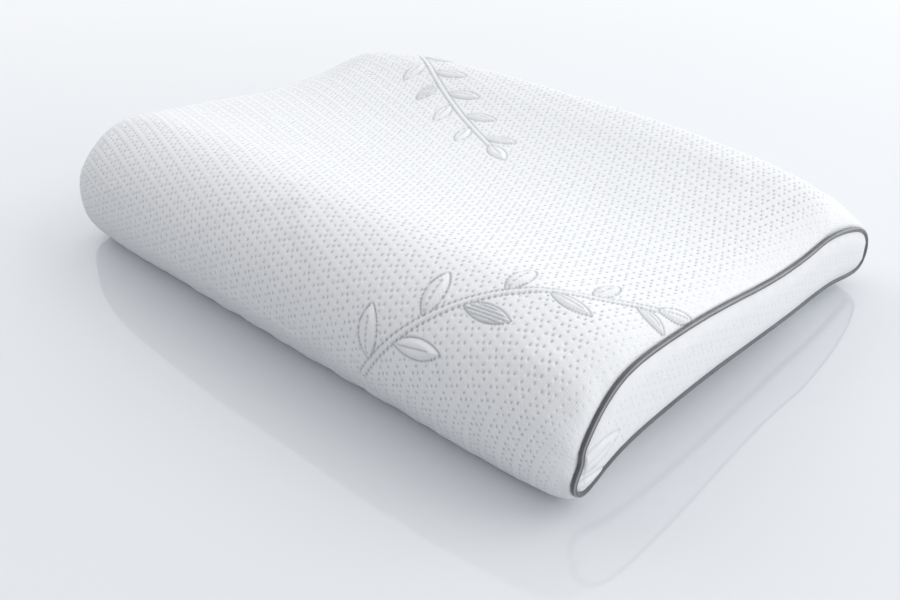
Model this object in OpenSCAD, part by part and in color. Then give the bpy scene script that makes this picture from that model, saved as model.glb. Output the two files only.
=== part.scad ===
// Contoured bed pillow: a moulded foam core in a knitted liner, inside a zipped double-knit
// cover with two piped end panels. X runs along the pillow, the high lobe faces -Y, and the
// pillow rests on Z = 0.

/* [Pillow] */
// Length between the two piped end outlines
pillow_length = 550; // [480:10:700]
// Length over which the lobes slope down towards each end
end_slope_length = 190; // [120:1:220]
// Length of each rounded end, where the cover draws in to its piping
end_round_length = 64; // [40:1:80]

/* [Cover] */
// Thickness of the padded double-knit fabric
knit_thickness = 3; // [2:0.25:4]
// Radius of the piping at the end seams
piping_radius = 2; // [1.5:0.1:3]
// Width of the piping's sewn-in flange
piping_flange = 8; // [6:0.5:12]

/* [Inner] */
// Thickness of the core's knitted liner
liner_thickness = 0.8; // [0.6:0.1:1.5]
// Space between one layer and the next
layer_gap = 0.3; // [0.2:0.05:0.5]

/* [Zip] */
// Distance from the zip's last tooth to the start of a rounded end
zip_clearance = 6.7; // [6.5:0.1:60]
// Half the width of the slit between the two fabric edges
slit_half_width = 6; // [5.5:0.25:8]
// Width of each half of the zip tape
tape_width = 14; // [12:1:18]
// Length of the pull tab
pull_length = 20; // [14:1:26]

/* [Hidden] */

knit_color = "whitesmoke";
piping_color = "dimgray";
foam_color = "lightyellow";
liner_color = "white";
tape_color = "gainsboro";
tooth_color = "silver";
metal_color = "darkgray";

// Outline of the middle of the pillow, as [Y, Z] points that a smooth closed curve passes
// through. It starts at the zip, goes forward under the high lobe and back over the top.
// Points just below zero are cut level, which leaves the two strips that the pillow rests on.
middle_outline = [
    [-28, 13], [-89, 8], [-139, -0.5], [-180.5, -2], [-198.5, 20], [-210.5, 44.5],
    [-210, 72.5], [-191, 100], [-150, 116.5], [-96.5, 106.5], [-42.5, 97], [8, 92],
    [58.5, 92.5], [108.5, 100], [154.5, 105], [188, 78], [211, 47], [207, 16.5],
    [180, -1], [134, -2], [82, 5], [28, 11]
];
// Outline of the end seams, point for point with the one above
end_outline = [
    [-38.5, 31], [-95, 31.5], [-150, 26.5], [-180, 16.5], [-191, 26], [-186, 39],
    [-185, 47], [-178.5, 60], [-151, 83], [-103.5, 87], [-51.5, 83], [3, 75],
    [46, 70], [86.5, 69], [116, 70], [154.5, 62.5], [188.5, 44], [188.5, 17.5],
    [150.5, 20], [114.5, 24.5], [69, 25.5], [17, 28]
];
outline_count = len(middle_outline);
// Curve points between one outline point and the next
curve_steps = 3;
curve_count = outline_count * curve_steps;

half_length = pillow_length / 2;
// The cover's fabric ends just inside the piping, and the inner layers one step inside that
wrap_end_x = half_length - piping_radius - layer_gap;
straight_half = wrap_end_x - end_round_length;
slope_start = wrap_end_x - end_slope_length;
slope_steps = 4;
round_steps = 5;
// How much of the lobes' extra height the slope takes away, and how it gathers pace
slope_share = 0.28;
slope_power = 1.25;
slope_end_power = 7.8;
// Outline points between which the upper side's slope fades into the underside's straight run
upper_from = [3.6, 6.2];
upper_to = [16.5, 19];

// Depths below the cover's outer face
liner_depth = knit_thickness + layer_gap;
core_depth = liner_depth + liner_thickness + layer_gap;
// The soft core gives way over the zip
zip_dent_depth = 3.6;
zip_dent_half_width = 34;

// Half the gap between two edges that are sewn together
seam_half_gap = 0.4;

zip_y = middle_outline[0][0];
zip_z = middle_outline[0][1];
zip_half = straight_half - zip_clearance;
tape_thickness = 0.5;
tape_z = zip_z + knit_thickness + 0.3;
tape_edge_y = 0.9;
coil_width = 2.0;
coil_height = 2.0;
coil_edge_y = 0.7;
coil_z = tape_z - coil_height - 0.1;
stop_length = 2.5;

slider_length = 11;
slider_half_width = 4.7;
slider_plate = 1.1;
slider_gap = 0.3;
slider_x = zip_half - slider_length / 2 - 1;
slider_bottom_z = coil_z - slider_gap - slider_plate;
slider_top_z = tape_z + tape_thickness + slider_gap;
bridge_width = 2.2;
bridge_height = 2.6;
bridge_length = 6;
bridge_bar = 0.9;
pull_bar_radius = 0.7;
pull_thickness = 1.2;
pull_half_width = 3.2;
pivot_x = slider_x - 1;
pivot_z = slider_bottom_z - bridge_height + bridge_bar + pull_bar_radius + 0.15;

// Vector helpers
function unit(v) = v / norm(v);
function mix(a, b, t) = a + (b - a) * t;
function clamp01(t) = min(1, max(0, t));
// Smooth step from 0 to 1 over a range
function ease(range, value) =
    let (t = clamp01((value - range[0]) / (range[1] - range[0]))) t * t * (3 - 2 * t);

// Point t of the way from b to c on a smooth curve through a, b, c and d
function smooth_point(a, b, c, d, t) =
    0.5 * (2 * b + (c - a) * t + (2 * a - 5 * b + 4 * c - d) * t * t
    + (3 * b - a - 3 * c + d) * t * t * t);

function smooth_at(points, position) =
    let (n = len(points), i = floor(position), t = position - i)
    smooth_point(points[(i + n - 1) % n], points[i % n], points[(i + 1) % n],
                 points[(i + 2) % n], t);

// Inward normals at an outline's own points
function inward_normals(points) =
    let (n = len(points))
    [for (i = [0 : n - 1])
        let (along = points[(i + 1) % n] - points[(i + n - 1) % n])
        unit([along[1], -along[0]])];

middle_normals = inward_normals(middle_outline);
end_normals = inward_normals(end_outline);

// How full the section is at x: 1 along the straight middle, falling to 0 at the end seam.
// The underside stays straight for longer than the lobes do.
function lower_fullness(x) =
    let (u = clamp01((abs(x) - straight_half) / end_round_length))
    sqrt(1 - u * u);
function upper_fullness(x) =
    let (u = clamp01((abs(x) - slope_start) / end_slope_length))
    (1 - slope_share * pow(u, slope_power)) * sqrt(1 - pow(u, slope_end_power));
function fullness(x, position) =
    mix(lower_fullness(x), upper_fullness(x), ease(upper_from, position) * (1 - ease(upper_to, position)));

// Dent over the zip, deepest on the zip's own line
function zip_dent(y) =
    let (u = clamp01(abs(y - zip_y) / zip_dent_half_width))
    zip_dent_depth * (1 - u * u) * (1 - u * u);

// One point of a layer's section at x, where k counts round the outline
function section_point(x, k, depth, dented) =
    let (position = k / curve_steps,
         g = fullness(x, position),
         surface = mix(smooth_at(end_outline, position), smooth_at(middle_outline, position), g),
         normal = mix(smooth_at(end_normals, position), smooth_at(middle_normals, position), g),
         level = [surface[0], max(0, surface[1])],
         dent = dented && normal[1] > 0.8 ? zip_dent(surface[0]) : 0)
    level + (depth + dent) * normal;

// The whole closed section of a layer
function section(x, depth, dented = false) =
    [for (k = [0 : curve_count - 1]) section_point(x, k, depth, dented)];

// A sheet's section: outer face, then inner face, with its two edges a gap apart at the zip
function sheet_section(x, depth, thickness, half_gap, dented) =
    let (outer = section_run(x, depth, half_gap, dented),
         inner = section_run(x, depth + thickness, half_gap, dented))
    concat(outer, [for (i = [len(inner) - 1 : -1 : 0]) inner[i]]);

// From the zip's front edge round to its back edge
function section_run(x, depth, half_gap, dented) =
    let (edge = section_point(x, 0, depth, dented))
    concat([edge - [half_gap, 0]],
           [for (k = [1 : curve_count - 1]) section_point(x, k, depth, dented)],
           [edge + [half_gap, 0]]);

// Places along X: one straight span, even steps down each slope, then closer steps round each
// end. Every layer uses the same places, so that their faces stay parallel.
function round_x(step) = straight_half + end_round_length * sin(90 * step / round_steps);
function half_stations(last_step) =
    concat([for (i = [0 : slope_steps - 1]) mix(slope_start, straight_half, i / slope_steps)],
           [for (i = [0 : last_step]) round_x(i)]);
function both_ways(half) =
    concat([for (i = [len(half) - 1 : -1 : 0]) -half[i]], half);
inner_last_step = round_steps - 1;
inner_stations = both_ways(half_stations(inner_last_step));

// A closed solid through sections that all have the same number of points. From point
// turn on, a section runs back along its inner face, and the diagonals run the other way.
module loft(xs, sections, turn) {
    n = len(sections[0]);
    last = len(sections) - 1;
    points = [for (s = [0 : last]) for (p = sections[s]) [xs[s], p[0], p[1]]];
    sides = [for (s = [0 : last - 1]) for (i = [0 : n - 1])
        let (j = (i + 1) % n, a = s * n, b = a + n)
        each i < turn
            ? [[a + i, a + j, b + j], [a + i, b + j, b + i]]
            : [[a + i, a + j, b + i], [a + j, b + j, b + i]]];
    first_cap = [for (i = [n - 1 : -1 : 0]) i];
    last_cap = [for (i = [0 : n - 1]) last * n + i];
    polyhedron(points, concat(sides, [first_cap, last_cap]), convexity = 10);
}

// Mirrors the right-hand parts to the left end
module at_end(side) {
    if (side < 0) mirror([1, 0, 0]) children();
    else children();
}

// A flat plate across the pillow at x, cut to the end outline less a margin
module end_plate(x, margin, thickness) {
    translate([x, 0, 0])
        rotate([90, 0, 90])
            linear_extrude(thickness)
                polygon(section(half_length, margin));
}

// Foam core, one moulded block
module foam_core() {
    color(foam_color)
        loft(inner_stations, [for (x = inner_stations) section(x, core_depth, true)], curve_count);
}

// Knitted sock round the core, with its seam under the pillow
module liner_tube() {
    color(liner_color)
        loft(inner_stations,
             [for (x = inner_stations)
                 sheet_section(x, liner_depth, liner_thickness, seam_half_gap, true)],
             curve_count + 1);
}

module liner_end(side) {
    color(liner_color)
        at_end(side)
            end_plate(round_x(inner_last_step) + layer_gap, liner_depth + 1, liner_thickness);
}

// One cover panel goes all the way round, and its long edges meet at the zip
module cover_wrap() {
    slit_end_x = zip_half + 3;
    xs = wrap_stations(slit_end_x);
    color(knit_color)
        loft(xs, [for (x = xs)
            sheet_section(x, 0, knit_thickness,
                          abs(x) > slit_end_x ? seam_half_gap : slit_half_width, false)],
            curve_count + 1);
}

// The wrap's stations, with two more where the slit closes
function wrap_stations(slit_end_x) =
    let (half = half_stations(round_steps), closing = [slit_end_x, slit_end_x + 1], clear = 2.5)
    both_ways(concat([for (x = half) if (x < closing[0] - clear) x], closing,
                     [for (x = half) if (x > closing[1] + clear) x]));

module end_panel(side) {
    color(knit_color)
        at_end(side)
            end_plate(half_length + ply_low + 2 * tape_ply + 0.2, piping_radius + layer_gap,
                      knit_thickness);
}

// Piping cross-section as [outward, along X] offsets from the seam outline: two layers of a
// folded tape that meet in a flat flange
tape_ply = 0.4;
ply_low = -1.9;
ply_split = 0.05;
ring_steps = 6;
flange_end = -(piping_radius + piping_flange);

function circle_at(radius, x) = -sqrt(radius * radius - x * x);
function arc_points(radius, from_x, to_x, steps) =
    let (start = atan2(from_x, circle_at(radius, from_x)),
         finish = 360 + atan2(to_x, circle_at(radius, to_x)))
    [for (i = [0 : steps])
        let (a = start + (finish - start) * i / steps)
        radius * [cos(a), sin(a)]];

tape_outer = arc_points(piping_radius, ply_low, ply_low + 2 * tape_ply + ply_split, ring_steps);
tape_inner = arc_points(piping_radius - tape_ply, ply_low + tape_ply,
                        ply_low + tape_ply + ply_split, ring_steps);
tape_profile = concat(
    [[flange_end, ply_low]],
    tape_outer,
    [[flange_end, ply_low + 2 * tape_ply + ply_split],
     [flange_end, ply_low + tape_ply + ply_split]],
    [for (i = [ring_steps : -1 : 0]) tape_inner[i]],
    [[flange_end, ply_low + tape_ply]]);

cord_sides = 8;
cord_radius = piping_radius - tape_ply - 0.25;
cord_profile = [for (i = [0 : cord_sides - 1])
    cord_radius * [cos(360 * i / cord_sides), sin(360 * i / cord_sides)]];

// Sweeps a cross-section round the end outline and joins it to itself
module seam_sweep(profile) {
    n = len(profile);
    points = [for (k = [0 : curve_count - 1])
        let (position = k / curve_steps,
             place = smooth_at(end_outline, position),
             inward = smooth_at(end_normals, position))
        for (q = profile)
            let (side = q[0] < -piping_radius ? inward : unit(inward),
                 flat = place - side * q[0])
            [half_length + q[1], flat[0], flat[1]]];
    faces = [for (k = [0 : curve_count - 1]) for (i = [0 : n - 1])
        let (a = k * n, b = ((k + 1) % curve_count) * n, j = (i + 1) % n)
        [a + i, b + i, b + j, a + j]];
    polyhedron(points, faces, convexity = 10);
}

module piping_tape(side) {
    color(piping_color)
        at_end(side)
            seam_sweep(tape_profile);
}

module piping_cord(side) {
    color("white")
        at_end(side)
            seam_sweep(cord_profile);
}

// Box set out from the zip's centre line, on the front (-1) or back (+1) side
module zip_block(side, x0, x1, y0, y1, z0, z1) {
    y_start = side > 0 ? y0 : -y1;
    translate([x0, zip_y + y_start, z0])
        cube([x1 - x0, y1 - y0, z1 - z0]);
}

module zipper_tape(side) {
    tape_half = zip_half + 8.7;
    color(tape_color)
        zip_block(side, -tape_half, tape_half, tape_edge_y, tape_edge_y + tape_width,
                  tape_z, tape_z + tape_thickness);
}

// A row of teeth, drawn as one plain strip
module zipper_coil(side) {
    color(tooth_color)
        zip_block(side, -zip_half, zip_half, coil_edge_y, coil_edge_y + coil_width,
                  coil_z, coil_z + coil_height);
}

module zipper_top_stop(side) {
    color(metal_color)
        zip_block(side, zip_half + 0.3, zip_half + 0.3 + stop_length, coil_edge_y,
                  coil_edge_y + coil_width + 0.4, coil_z - 0.2, coil_z + coil_height);
}

module zipper_bottom_stop() {
    half_width = coil_edge_y + coil_width + 0.4;
    color(metal_color)
        translate([-zip_half - 0.3 - stop_length, zip_y - half_width, coil_z - 0.2])
            cube([stop_length, 2 * half_width, coil_height + 0.2]);
}

// Flat plate with round corners, centred on X and Y
module rounded_plate(size_x, size_y, radius, thickness) {
    inner_x = size_x / 2 - radius;
    inner_y = size_y / 2 - radius;
    linear_extrude(thickness)
        union() {
            square([size_x, 2 * inner_y], center = true);
            square([2 * inner_x, size_y], center = true);
            for (sx = [-1, 1]) for (sy = [-1, 1])
                translate([sx * inner_x, sy * inner_y])
                    circle(radius, $fn = 32);
        }
}

// Two plates joined by a post, with side rails, and a bridge for the pull underneath
module zipper_slider() {
    post_half = 0.4;
    rail_width = 0.9;
    rail_y = coil_edge_y + coil_width + 0.5;
    lower_top_z = slider_bottom_z + slider_plate;
    color(metal_color)
        translate([slider_x, zip_y, 0])
            union() {
                translate([0, 0, slider_bottom_z])
                    rounded_plate(slider_length, 2 * slider_half_width, 1.6, slider_plate);
                translate([0, 0, slider_top_z])
                    rounded_plate(slider_length, 2 * slider_half_width, 1.6, slider_plate);
                translate([slider_length / 2 - 3.2, -post_half, lower_top_z - 0.1])
                    cube([2.6, 2 * post_half, slider_top_z - lower_top_z + 0.2]);
                for (s = [-1, 1])
                    translate([-slider_length / 2 + 1.4, s * (rail_y + rail_width / 2)
                               - rail_width / 2, lower_top_z - 0.1])
                        cube([slider_length - 2.8, rail_width, tape_z - slider_gap - lower_top_z + 0.1]);
                slider_bridge();
            }
}

// Low loop under the slider that the pull's crossbar turns in
module slider_bridge() {
    leg = 1;
    bridge_z = slider_bottom_z - bridge_height;
    translate([0, 0, bridge_z])
        difference() {
            translate([-bridge_length / 2, -bridge_width / 2, 0])
                cube([bridge_length, bridge_width, bridge_height + 0.1]);
            translate([-bridge_length / 2 + leg, -bridge_width, bridge_bar])
                cube([bridge_length - 2 * leg, 2 * bridge_width, bridge_height - bridge_bar]);
        }
}

// Pull tab, lying flat under the closed zip
module zipper_pull() {
    arm_inner = bridge_width / 2 + 0.4;
    arm_width = pull_half_width - arm_inner;
    plate_start = 5.2;
    hole_x = -pull_length + 4;
    color(metal_color)
        translate([pivot_x, zip_y, pivot_z])
            union() {
                rotate([90, 0, 0])
                    cylinder(h = 2 * pull_half_width, r = pull_bar_radius, center = true, $fn = 32);
                for (s = [-1, 1])
                    translate([-plate_start - 0.5, s * (arm_inner + arm_width / 2) - arm_width / 2,
                               -pull_thickness / 2])
                        cube([plate_start + 0.5, arm_width, pull_thickness]);
                difference() {
                    translate([-(pull_length + plate_start) / 2, 0, -pull_thickness / 2])
                        rounded_plate(pull_length - plate_start, 2 * pull_half_width, 1.5,
                                      pull_thickness);
                    translate([hole_x, 0, -pull_thickness])
                        cylinder(h = 2 * pull_thickness, r = 1.3, $fn = 32);
                }
            }
}

foam_core();
liner_tube();
liner_end(-1);  // liner_end_left
liner_end(1);  // liner_end_right
cover_wrap();
end_panel(-1);  // end_panel_left
end_panel(1);  // end_panel_right
piping_tape(-1);  // piping_tape_left
piping_tape(1);  // piping_tape_right
piping_cord(-1);  // piping_cord_left
piping_cord(1);  // piping_cord_right
zipper_tape(-1);  // zipper_tape_front
zipper_tape(1);  // zipper_tape_back
zipper_coil(-1);  // zipper_coil_front
zipper_coil(1);  // zipper_coil_back
zipper_slider();
zipper_pull();
zipper_top_stop(-1);  // zipper_top_stop_front
zipper_top_stop(1);  // zipper_top_stop_back
zipper_bottom_stop();
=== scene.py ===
"""Contoured bed pillow: a padded double-knit cover with piped ends, over a liner and a foam core."""
import math

import bpy
import numpy as np
from mathutils import Matrix, Vector


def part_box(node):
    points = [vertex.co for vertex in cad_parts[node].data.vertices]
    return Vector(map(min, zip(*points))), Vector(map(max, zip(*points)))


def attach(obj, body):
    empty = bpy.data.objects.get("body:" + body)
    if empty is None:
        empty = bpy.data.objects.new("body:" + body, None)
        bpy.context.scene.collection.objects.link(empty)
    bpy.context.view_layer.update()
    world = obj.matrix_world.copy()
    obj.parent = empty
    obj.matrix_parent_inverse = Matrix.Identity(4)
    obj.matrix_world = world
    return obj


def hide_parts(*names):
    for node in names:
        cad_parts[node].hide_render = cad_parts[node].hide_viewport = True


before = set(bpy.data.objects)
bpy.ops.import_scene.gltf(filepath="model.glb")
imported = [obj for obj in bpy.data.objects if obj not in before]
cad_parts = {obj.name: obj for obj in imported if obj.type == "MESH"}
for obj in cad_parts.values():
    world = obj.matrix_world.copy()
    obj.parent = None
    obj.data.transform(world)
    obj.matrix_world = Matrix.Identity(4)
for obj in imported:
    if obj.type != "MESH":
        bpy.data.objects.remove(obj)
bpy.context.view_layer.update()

MM = 0.001

# ---------------------------------------------------------------- shape, in mm, as in the CAD
# Outlines as (y, z): from the zip forward under the high lobe, up the front and back over the top
MIDDLE = np.array([
    (-28, 13), (-89, 8), (-139, -0.5), (-180.5, -2), (-198.5, 20), (-210.5, 44.5), (-210, 72.5),
    (-191, 100), (-150, 116.5), (-96.5, 106.5), (-42.5, 97), (8, 92), (58.5, 92.5), (108.5, 100),
    (154.5, 105), (188, 78), (211, 47), (207, 16.5), (180, -1), (134, -2), (82, 5),
    (28, 11)], float)
END = np.array([
    (-38.5, 31), (-95, 31.5), (-150, 26.5), (-180, 16.5), (-191, 26), (-186, 39), (-185, 47),
    (-178.5, 60), (-151, 83), (-103.5, 87), (-51.5, 83), (3, 75), (46, 70), (86.5, 69),
    (116, 70), (154.5, 62.5), (188.5, 44), (188.5, 17.5), (150.5, 20), (114.5, 24.5), (69, 25.5),
    (17, 28)], float)
COUNT = len(MIDDLE)
# Knot of the middle's outline that stands furthest forward
FRONT_MOST = 5
SEAM_X = 275.0
PIPING_R = 2.0
# The piping as it shows, between the two panels that press on it
PIPING_SHOWN = 1.78
FILLER_R = 1.25
# Length of the rounding at each end, and how far in the end's outline draws meanwhile
ROUND_LENGTH = 64.0
ROUND_DROP = 24
# The lobes' slope towards each end: length, share of the height lost, and how it gathers
SLOPE_LENGTH = 190.0
SLOPE_SHARE = 0.28
SLOPE_POWER = 1.25
SLOPE_END_POWER = 7.8
WRAP_END = SEAM_X - PIPING_R - 0.3
STRAIGHT = WRAP_END - ROUND_LENGTH
ZIP_Y = -28.0
ZIP_CLEARANCE = 6.7
ZIP_HALF = STRAIGHT - ZIP_CLEARANCE
SLIT_HALF = 6.0
SEAM_HALF_GAP = 0.3
# How far inside the cover the liner and the core lie, and how much more over the zip
LINER_DEPTH = 3.7
CORE_DEPTH = 4.6
ZIP_DENT = 3.6
# Most that the simulated puckers may move a point
WRINKLE_CAP = 0.9
# Heights along the middle of an end face, at places from front to back
FACE_Y = [-190, -120, 0, 120, 190]
FACE_Z = [39, 59, 53, 48, 37]


def spline_bend(points):
    """Second derivatives of the smooth closed curve through evenly spaced knots."""
    eye = np.eye(len(points))
    matrix = 4 * eye + np.roll(eye, 1, 1) + np.roll(eye, -1, 1)
    return np.linalg.solve(
        matrix, 6 * (np.roll(points, -1, 0) - 2 * points + np.roll(points, 1, 0)))


MIDDLE_BEND = spline_bend(MIDDLE)
END_BEND = spline_bend(END)


def spline_at(points, bend, t):
    """Points of the smooth closed curve at t, which grows by 1 from knot to knot."""
    i = np.floor(t).astype(int)
    f = (t - i)[..., None]
    g = 1 - f
    i = i % len(points)
    j = (i + 1) % len(points)
    return g * points[i] + f * points[j] + ((g**3 - g) * bend[i] + (f**3 - f) * bend[j]) / 6


def smooth(low, high, value):
    """0 below low, 1 above high, and an S-shaped rise between."""
    t = np.clip((value - low) / (high - low), 0, 1)
    return t * t * (3 - 2 * t)


# Perimeter coordinate s of the middle section: 0 at the front-most point, growing up and back
_t = np.linspace(0, COUNT, 4401)
_p = spline_at(MIDDLE, MIDDLE_BEND, _t)
_s = np.concatenate([[0], np.cumsum(np.hypot(*np.diff(_p, axis=0).T))])
_s -= np.interp(FRONT_MOST, _t, _s)
S_FIRST, S_LAST = _s[0], _s[-1]


def t_of_s(s):
    """Knot coordinate at a perimeter coordinate."""
    return np.interp(s, _s, _t)


# Length coordinate u along the pillow: it follows the surface round each end
_a = np.linspace(0, math.pi / 2, 400)
_ends = np.hypot(np.diff(ROUND_LENGTH * np.sin(_a)), np.diff(ROUND_DROP * np.cos(_a)))
_u = STRAIGHT + np.concatenate([[0], np.cumsum(_ends)])
U_LAST = _u[-1]


def x_of_u(u):
    """Place along X at a length coordinate."""
    a = np.interp(np.abs(u), _u, _a, left=0)
    return np.sign(u) * np.where(np.abs(u) < STRAIGHT, np.abs(u), STRAIGHT + ROUND_LENGTH * np.sin(a))


def fullness(x, t):
    """How much of the middle's outline is left at x: the lobes slope down before the underside does."""
    low = np.sqrt(np.maximum(1 - (np.maximum(np.abs(x) - STRAIGHT, 0) / ROUND_LENGTH) ** 2, 0))
    v = np.clip((np.abs(x) - (WRAP_END - SLOPE_LENGTH)) / SLOPE_LENGTH, 0, 1)
    high = (1 - SLOPE_SHARE * v ** SLOPE_POWER) * np.sqrt(1 - v ** SLOPE_END_POWER)
    upper = smooth(3.6, 6.2, t) * (1 - smooth(16.5, 19, t))
    return low[:, None] + (high - low)[:, None] * upper


def section(x, t):
    """Points of the cover's outer face, (len(x), len(t), 3)."""
    middle = spline_at(MIDDLE, MIDDLE_BEND, t)
    end = spline_at(END, END_BEND, t)
    if t.ndim == 1:
        middle, end, t = middle[None], end[None], t[None]
    flat = end + (middle - end) * fullness(x, t)[..., None]
    z = flat[..., 1]
    # What dips under the surface that the pillow lies on is flattened, with a soft start
    z = 0.5 * (z + np.sqrt(z * z + 0.6)) - 0.19
    return np.stack([np.broadcast_to(x[:, None], z.shape), flat[..., 0], np.maximum(z, 0)], -1)


def normals_of(points):
    """Outward normals of a grid whose first axis runs along +X and whose second along +s."""
    du = np.gradient(points, axis=0)
    ds = np.gradient(points, axis=1)
    n = np.cross(du, ds)
    return n / np.maximum(np.linalg.norm(n, axis=-1, keepdims=True), 1e-9)


# ---------------------------------------------------------------- fabric pattern
# The knit's lattice: two steps, nearly square to each other, at a slant to the pillow
STEP_A = 4.3
STEP_B = 4.7
DIR_A = np.array([math.cos(math.radians(28)), math.sin(math.radians(28))])
DIR_B = np.array([math.cos(math.radians(62)), -math.sin(math.radians(62))])
LATTICE = np.linalg.inv(np.stack([DIR_A * STEP_A, DIR_B * STEP_B], 1))
# Angle from the first step to the wales, which stand a little off square to the pillow's length
LEAN_COS, LEAN_SIN = math.cos(math.radians(57)), math.sin(math.radians(57))
# Spacing of the fine ribs and of the courses across them
RIB = 1.3
COURSE = 1.18
# Width of a group of wales, by which knitted-in outlines step, and the direction across them
WALE = 1.7
WALE_ACROSS = np.array([math.cos(math.radians(-14)), math.sin(math.radians(-14))])


def lattice(u, s):
    """Places on the fabric, counted in steps of the knit's lattice."""
    return LATTICE[0, 0] * u + LATTICE[0, 1] * s, LATTICE[1, 0] * u + LATTICE[1, 1] * s


def dimples(i, j):
    """Depth field of the stitched-down points, grouped in fives: 0 on the plain, 1 at a point."""
    near_i, near_j = np.round(i), np.round(j)
    di, dj = (i - near_i) * STEP_A, (j - near_j) * STEP_B
    # Each point is drawn out along the knit's wales
    d2 = (LEAN_COS * di - LEAN_SIN * dj) ** 2 / 2.6 + (LEAN_SIN * di + LEAN_COS * dj) ** 2 / 0.75
    plus = np.abs((near_i + near_j + 2) % 4 - 2) < 1.5
    cross = np.abs((near_i - near_j + 2) % 4 - 2) < 1.5
    held = (plus & cross).astype(float)
    return held * np.exp(-d2), held * np.exp(-(di**2 + dj**2) / 4.5)


def leaf(p, place, angle, length, width):
    """Signed distance to a pointed leaf, and how far along and across it a point lies."""
    c, s = math.cos(math.radians(angle)), math.sin(math.radians(angle))
    dx, dy = p[0] - place[0], p[1] - place[1]
    along, across = dx * c + dy * s, -dx * s + dy * c
    half, wide = length / 2 - 1.2, width / 2 - 1.2
    r = (half * half + wide * wide) / (2 * wide)
    d = r - wide
    a, b = np.abs(across), np.abs(along)
    tip = (b - half) * d > a * half
    sd = np.where(tip, np.hypot(a, b - half), np.hypot(a + d, b) - r) - 1.2
    return sd, along, across


def stem(p, points, radius):
    """Signed distance to a band along a chain of points."""
    best = np.full(p[0].shape, 1e6)
    for a, b in zip(points[:-1], points[1:]):
        ab = b - a
        t = np.clip(((p[0] - a[0]) * ab[0] + (p[1] - a[1]) * ab[1]) / (ab @ ab), 0, 1)
        best = np.minimum(best, np.hypot(p[0] - a[0] - t * ab[0], p[1] - a[1] - t * ab[1]))
    return best - radius


def sprig(start, finish, bow, leaves, longest, shortest, first_side):
    """A curved stem with leaves on alternate sides and one at its tip."""
    start, finish = np.array(start, float), np.array(finish, float)
    run = finish - start
    side = np.array([-run[1], run[0]]) / np.linalg.norm(run)
    at = lambda t: start + run * t + side * bow * math.sin(math.pi * t)
    shapes = []
    for k in range(leaves):
        t = 0.07 + 0.86 * k / (leaves - 1)
        slope = at(t + 0.01) - at(t - 0.01)
        heading = math.degrees(math.atan2(slope[1], slope[0]))
        hand = first_side if k % 2 == 0 else -first_side
        length = longest + (shortest - longest) * t
        angle = heading + hand * 43
        away = np.array([math.cos(math.radians(angle)), math.sin(math.radians(angle))])
        shapes.append((at(t) + away * (length / 2 + 3.6), angle, length, length * 0.4, k))
    slope = at(1.0) - at(0.98)
    heading = math.degrees(math.atan2(slope[1], slope[0]))
    away = slope / np.linalg.norm(slope)
    shapes.append((finish + away * (shortest / 2 + 3), heading, shortest * 1.15, shortest * 0.5, -1))
    return {"stem": [at(t) for t in np.linspace(0, 1, 15)], "leaves": shapes}


SPRIGS = [
    sprig((112, -4), (258, 172), 9, 8, 40, 26, 1),
    sprig((-196, 424), (2, 300), -8, 9, 40, 28, 1),
]


def motif(u, s, sprigs):
    """Relief of the knitted-in sprigs: (height, line, cover). Edges step with the stitches."""
    across = u * WALE_ACROSS[0] + s * WALE_ACROSS[1]
    shift = 0.85 * ((np.floor(across / WALE) + 0.5) * WALE - across)
    p = (u + shift * WALE_ACROSS[0], s + shift * WALE_ACROSS[1])
    height = np.zeros(u.shape)
    line = np.zeros(u.shape)
    cover = np.full(u.shape, 1e3)
    for one in sprigs:
        sd = stem(p, one["stem"], 2.4)
        parts = [(sd, None, None, 1.1, None)]
        for place, angle, length, width, kind in one["leaves"]:
            near = np.hypot(u - place[0], s - place[1]) < length
            if not near.any():
                continue
            parts.append((*leaf(p, place, angle, length, width), 1.6, kind))
        for sd, along, across, puff, kind in parts:
            inside = smooth(0.3, 4.2, -sd) * puff
            edge = np.exp(-((sd - 0.05) / 0.6) ** 2)
            if kind is not None and kind != 3:
                half = np.max(np.abs(along[sd < 0])) if (sd < 0).any() else 1
                rib = np.exp(-(across / 0.6) ** 2) * smooth(1, 2.5, -sd) * (along < half * 0.55)
                edge = np.maximum(edge, 0.75 * rib)
            if kind == 3:
                ridges = 0.5 + 0.5 * np.cos(2 * math.pi * across / 2.6)
                inside = smooth(0.3, 2.0, -sd) * (0.5 + 0.9 * ridges)
                edge = np.maximum(edge, 0.7 * (1 - ridges) ** 2 * smooth(0.6, 1.6, -sd))
            shown = np.where(sd < 0, 1.0, 0.0)
            height = np.where(sd < 0.3, np.maximum(height, inside) * shown + height * (1 - shown), height)
            line = np.maximum(line, edge)
            cover = np.minimum(cover, sd)
    return height, line, cover


def wander(a, b, seed, wavelength):
    """Smooth unevenness from a few fixed waves."""
    rng = np.random.default_rng(seed)
    total = np.zeros(np.broadcast(a, b).shape)
    for _ in range(7):
        heading, phase = rng.uniform(0, 2 * math.pi, 2)
        length = wavelength * rng.uniform(0.6, 1.7)
        total += np.sin(2 * math.pi * (a * math.cos(heading) + b * math.sin(heading)) / length + phase)
    return total / 7


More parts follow.
